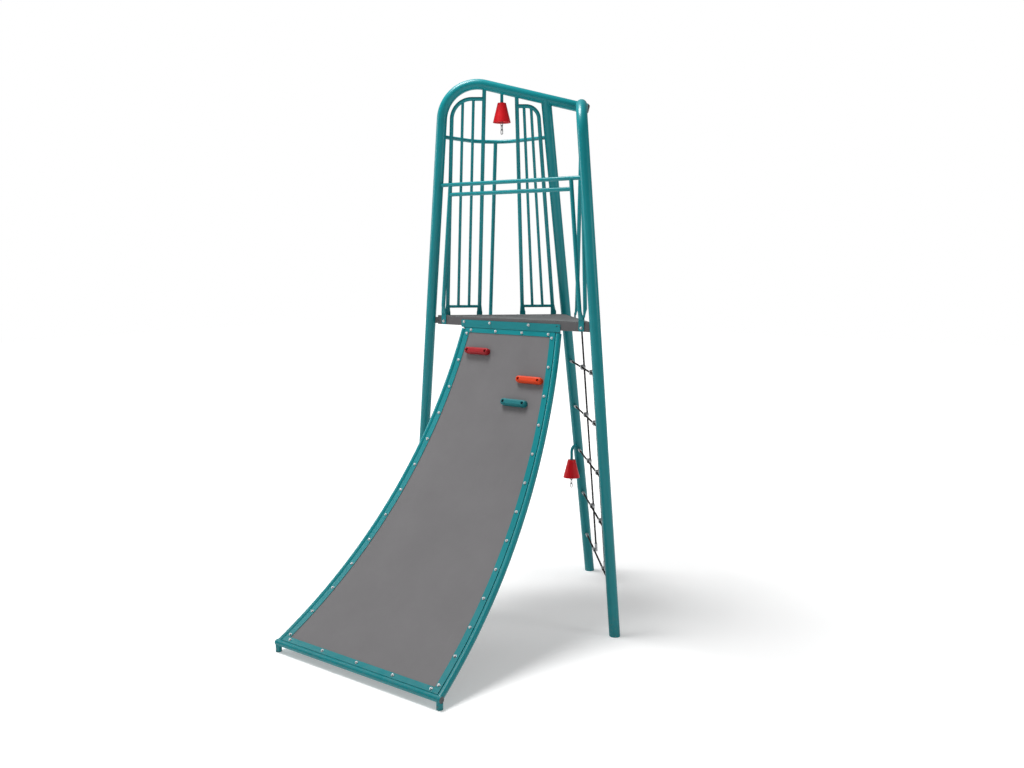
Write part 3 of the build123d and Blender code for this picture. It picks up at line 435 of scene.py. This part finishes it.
def backdrop_white(name):
    """Plain white surround behind the tower."""
    s = Shader(name)
    s.surface.inputs["Emission Strength"].default_value = 1.0
    s.surface.inputs["Emission Color"].default_value = (1.0, 1.0, 1.0, 1.0)
    return s.finish((0.0, 0.0, 0.0), 1.0, level=0.0)


# ---- mesh helpers ---------------------------------------------------------------------------
def deselect_all():
    if bpy.context.mode != "OBJECT":
        bpy.ops.object.mode_set(mode="OBJECT")
    bpy.ops.object.select_all(action="DESELECT")


def only(piece):
    deselect_all()
    piece.select_set(True)
    bpy.context.view_layer.objects.active = piece


def pick(piece, wanted):
    """Select a mesh's vertices by a test, then enter edit mode."""
    bpy.ops.object.mode_set(mode="EDIT")
    bpy.ops.mesh.select_mode(type="VERT")
    bpy.ops.mesh.select_all(action="DESELECT")
    bpy.ops.object.mode_set(mode="OBJECT")
    for vertex in piece.data.vertices:
        vertex.select = wanted(vertex.co)
    bpy.ops.object.mode_set(mode="EDIT")


def bake_place(piece, matrix):
    """Put a piece modelled at the origin in its place, leaving its object unturned."""
    deselect_all()
    piece.data.transform(matrix)
    piece.matrix_world = Matrix.Identity(4)
    piece.data.update()


def apply_modifier(piece, kind, **settings):
    only(piece)
    modifier = piece.modifiers.new(kind.title(), kind)
    for key, value in settings.items():
        setattr(modifier, key, value)
    bpy.ops.object.modifier_apply(modifier=modifier.name)


def paint(names, material):
    for name in names:
        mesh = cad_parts[name].data
        if not mesh.materials:
            mesh.materials.append(material)
        for index in range(len(mesh.materials)):
            mesh.materials[index] = material


def smooth(names, angle=32.0):
    """Smooth shading that keeps the edges sharper than the angle."""
    for name in names:
        only(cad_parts[name])
        bpy.ops.object.shade_smooth_by_angle(angle=math.radians(angle))
    deselect_all()


def rod_ends(name):
    """Centres of the two end discs of a straight CAD rod."""
    points = [vertex.co.copy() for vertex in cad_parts[name].data.vertices]
    low = min(points, key=lambda point: (round(point.z, 3), point.x))
    far = max(points, key=lambda point: (point - low).length)
    low = max(points, key=lambda point: (point - far).length)
    axis = (far - low).normalized()
    places = sorted(points, key=lambda point: point.dot(axis))
    start, end = places[0].dot(axis), places[-1].dot(axis)
    ends = []
    for mark in (start, end):
        near = {tuple(round(value, 5) for value in point) for point in points
                if abs(point.dot(axis) - mark) < (end - start) * 0.2}
        low_corner = Vector([min(point[i] for point in near) for i in range(3)])
        high_corner = Vector([max(point[i] for point in near) for i in range(3)])
        ends.append((low_corner + high_corner) / 2)
    return ends


def turned_to(direction):
    return direction.to_track_quat("Z", "Y").to_matrix().to_4x4()


# ---- pieces ---------------------------------------------------------------------------------
def laid_rope(name, start, end, radius, lay, groove):
    """A stranded rope: a lobed ring screwed along its length, with closed ends."""
    length = (end - start).length
    deselect_all()
    bpy.ops.mesh.primitive_circle_add(vertices=ROPE_CORNERS, radius=radius, fill_type="NOTHING")
    rope = bpy.context.object
    pick(rope, lambda place: round(math.degrees(math.atan2(place.y, place.x)) / 20) % 3 == 0)
    share = 1 - groove / radius
    bpy.ops.transform.resize(value=(share, share, 1.0), center_override=(0, 0, 0))
    bpy.ops.object.mode_set(mode="OBJECT")
    turns = length / lay
    steps = int(turns * STEPS_PER_TURN) + 1
    apply_modifier(rope, "SCREW", axis="Z", angle=turns * math.tau, screw_offset=length,
                   steps=steps, render_steps=steps, use_merge_vertices=False)
    uv = rope.data.uv_layers.new(name="along")
    for loop in rope.data.loops:
        place = rope.data.vertices[loop.vertex_index].co
        round_way = math.atan2(place.y, place.x) / math.tau - place.z / lay
        uv.data[loop.index].uv = (round_way % 1.0, place.z)
    for face in rope.data.polygons:
        corners = [uv.data[index] for index in face.loop_indices]
        if max(c.uv.x for c in corners) - min(c.uv.x for c in corners) > 0.5:
            for corner in corners:
                if corner.uv.x < 0.5:
                    corner.uv.x += 1.0
    only(rope)
    bpy.ops.object.mode_set(mode="EDIT")
    bpy.ops.mesh.select_all(action="SELECT")
    bpy.ops.mesh.fill_holes(sides=0)
    bpy.ops.mesh.normals_make_consistent(inside=False)
    bpy.ops.object.mode_set(mode="OBJECT")
    bake_place(rope, Matrix.Translation(start) @ turned_to(end - start))
    only(rope)
    bpy.ops.object.shade_smooth_by_angle(angle=math.radians(60))
    rope.name = name
    rope.data.name = name
    return rope


# ---- operators ------------------------------------------------------------------------------
class TOWER_OT_steelwork(bpy.types.Operator):
    """Powder coat on the legs, beam, rails, guards and the wall's frame"""

    bl_idname = "tower.steelwork"
    bl_label = "Steelwork"

    def execute(self, context):
        finish = context.scene.tower_finish
        smooth(POWDER_COATED)
        paint(POWDER_COATED, powder_coat("teal_powder_coat", tuple(finish.coat)))
        return {"FINISHED"}


class TOWER_OT_deck(bpy.types.Operator):
    """Embossed deck top, edge boards, brackets and the moulded tube caps"""

    bl_idname = "tower.deck"
    bl_label = "Deck"

    def execute(self, context):
        finish = context.scene.tower_finish
        smooth(DECK_EDGES + MOULDED_CAPS)
        paint(("deck_panel",), deck_emboss("deck_emboss", tuple(finish.deck)))
        paint(DECK_EDGES, edge_board_coat("edge_board_coat", tuple(finish.deck_edge)))
        paint(MOULDED_CAPS, moulded_cap("moulded_cap", (0.075, 0.080, 0.084)))
        return {"FINISHED"}


class TOWER_OT_wall_sheet(bpy.types.Operator):
    """Grey laminate of the curved climbing wall"""

    bl_idname = "tower.wall_sheet"
    bl_label = "Wall Sheet"

    def execute(self, context):
        finish = context.scene.tower_finish
        smooth(("wall_sheet",))
        paint(("wall_sheet",), wall_laminate("wall_laminate", tuple(finish.sheet)))
        return {"FINISHED"}


class TOWER_OT_fasteners(bpy.types.Operator):
    """Dome nuts, hold screws, deck screws and set screws"""

    bl_idname = "tower.fasteners"
    bl_label = "Fasteners"

    def execute(self, context):
        smooth(ZINC_FASTENERS + DECK_SCREWS, 40.0)
        paint(ZINC_FASTENERS, zinc_plate("zinc_dome", (0.62, 0.62, 0.63)))
        paint(DECK_SCREWS, zinc_plate("dull_screw", (0.16, 0.16, 0.165), 0.6))
        return {"FINISHED"}


class TOWER_OT_holds(bpy.types.Operator):
    """Moulded bar holds with bolt recesses"""

    bl_idname = "tower.holds"
    bl_label = "Grab Holds"

    def execute(self, context):
        finish = context.scene.tower_finish
        smooth(HOLDS, 38.0)
        for node, colour in zip(HOLDS, (finish.red_hold, finish.orange_hold, finish.teal_hold)):
            paint((node,), grip_resin(node + "_resin", tuple(colour)))
        return {"FINISHED"}


class TOWER_OT_ropes(bpy.types.Operator):
    """Stranded ropes of the climbing net"""

    bl_idname = "tower.ropes"
    bl_label = "Net Ropes"

    def execute(self, context):
        detail = context.scene.tower_detail
        sheath = rope_sheath("black_rope_sheath", tuple(context.scene.tower_finish.rope))
        for node in ROPES:
            start, end = rod_ends(node)
            rope = laid_rope("laid_" + node, start, end, ROPE_RADIUS, detail.rope_lay,
                             detail.strand_depth)
            rope.data.materials.append(sheath)
            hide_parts(node)
            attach(rope, ROOT_BODY)
        return {"FINISHED"}


class TOWER_OT_net_fittings(bpy.types.Operator):
    """Clamps, ferrules, forks and deck anchors of the net"""

    bl_idname = "tower.net_fittings"
    bl_label = "Net Fittings"

    def execute(self, context):
        smooth(NET_FITTINGS, 36.0)
        paint(NET_FITTINGS, cast_fitting("tumbled_fitting", (0.52, 0.53, 0.54)))
        return {"FINISHED"}


class TOWER_OT_bells(bpy.types.Operator):
    """Enamel bells with their clappers and chains"""

    bl_idname = "tower.bells"
    bl_label = "Pull Bells"

    def execute(self, context):
        smooth(BELLS + BELL_STEEL, 36.0)
        paint(BELLS, bell_enamel("bell_enamel", tuple(context.scene.tower_finish.bell)))
        paint(BELL_STEEL, bell_steel("bell_steel", (0.11, 0.11, 0.115)))
        return {"FINISHED"}


class TOWER_OT_stage(bpy.types.Operator):
    """Pale studio floor, soft lights and the camera"""

    bl_idname = "tower.stage"
    bl_label = "Stage"

    def execute(self, context):
        stage = context.scene.tower_stage
        deselect_all()
        bpy.ops.mesh.primitive_plane_add(size=60.0, location=(0, 0, -0.0005))
        floor = bpy.context.object
        floor.name = "studio_floor"
        floor.data.materials.append(studio_floor("studio_floor", tuple(stage.floor_tone)))

        bpy.ops.mesh.primitive_uv_sphere_add(segments=48, ring_count=24, radius=45.0)
        surround = bpy.context.object
        surround.name = "studio_surround"
        surround.data.materials.append(backdrop_white("backdrop_white"))
        for ray in ("diffuse", "glossy", "transmission", "volume_scatter", "shadow"):
            setattr(surround, "visible_" + ray, False)

        world = bpy.data.worlds.new("studio_world")
        world.use_nodes = True
        surround_light = world.node_tree.nodes["Background"]
        surround_light.inputs["Color"].default_value = (1.0, 1.0, 1.0, 1.0)
        surround_light.inputs["Strength"].default_value = stage.surround_strength
        context.scene.world = world
        context.scene.view_settings.view_transform = "Standard"

        lights = (
            ("front_softbox", (1.5, -7.5, 3.2), 3.5, stage.front_power),
            ("top_softbox", (-2.0, -1.0, 9.5), 3.0, stage.top_power),
            ("left_softbox", (-7.0, -2.5, 4.5), 2.5, stage.left_power),
            ("right_strip", (6.5, 1.5, 3.8), 1.6, stage.right_power),
        )
        for name, place, size, power in lights:
            bpy.ops.object.light_add(type="AREA", location=place)
            light = bpy.context.object
            light.name = name
            light.data.name = name
            light.data.shape = "SQUARE"
            light.data.size = size
            light.data.energy = power
            aim = Vector(STAGE_AIM) - Vector(place)
            light.rotation_euler = aim.to_track_quat("-Z", "Y").to_euler()

        bpy.ops.object.camera_add(location=stage.camera_place, rotation=stage.camera_turn)
        camera = bpy.context.object
        camera.name = "studio_camera"
        camera.data.sensor_fit = "HORIZONTAL"
        camera.data.sensor_width = 36.0
        camera.data.lens = stage.lens
        camera.data.clip_end = 200.0
        context.scene.camera = camera
        return {"FINISHED"}


PIECE_OPERATORS = (
    TOWER_OT_steelwork, TOWER_OT_deck, TOWER_OT_wall_sheet, TOWER_OT_fasteners, TOWER_OT_holds,
    TOWER_OT_ropes, TOWER_OT_net_fittings, TOWER_OT_bells, TOWER_OT_stage,
)


class TOWER_PT_panel(bpy.types.Panel):
    """Lists the tower's pieces and settings"""

    bl_idname = "TOWER_PT_panel"
    bl_label = "Climbing Tower"
    bl_space_type = "VIEW_3D"
    bl_region_type = "UI"
    bl_category = "Climbing Tower"

    def draw(self, context):
        layout = self.layout
        scene = context.scene
        for operator in PIECE_OPERATORS:
            layout.operator(operator.bl_idname)
        for group in (scene.tower_finish, scene.tower_detail, scene.tower_stage):
            for name in group.__annotations__:
                layout.prop(group, name)


CLASSES = (
    TowerFinishSettings, TowerDetailSettings, TowerStageSettings, *PIECE_OPERATORS,
    TOWER_PT_panel,
)


def register():
    for made in CLASSES:
        bpy.utils.register_class(made)
    bpy.types.Scene.tower_finish = bpy.props.PointerProperty(type=TowerFinishSettings)
    bpy.types.Scene.tower_detail = bpy.props.PointerProperty(type=TowerDetailSettings)
    bpy.types.Scene.tower_stage = bpy.props.PointerProperty(type=TowerStageSettings)


def unregister():
    del bpy.types.Scene.tower_stage
    del bpy.types.Scene.tower_detail
    del bpy.types.Scene.tower_finish
    for made in reversed(CLASSES):
        bpy.utils.unregister_class(made)


def main():
    register()
    bpy.ops.tower.steelwork()
    bpy.ops.tower.deck()
    bpy.ops.tower.wall_sheet()
    bpy.ops.tower.fasteners()
    bpy.ops.tower.holds()
    bpy.ops.tower.ropes()
    bpy.ops.tower.net_fittings()
    bpy.ops.tower.bells()
    bpy.ops.tower.stage()


if __name__ == "__main__":
    main()
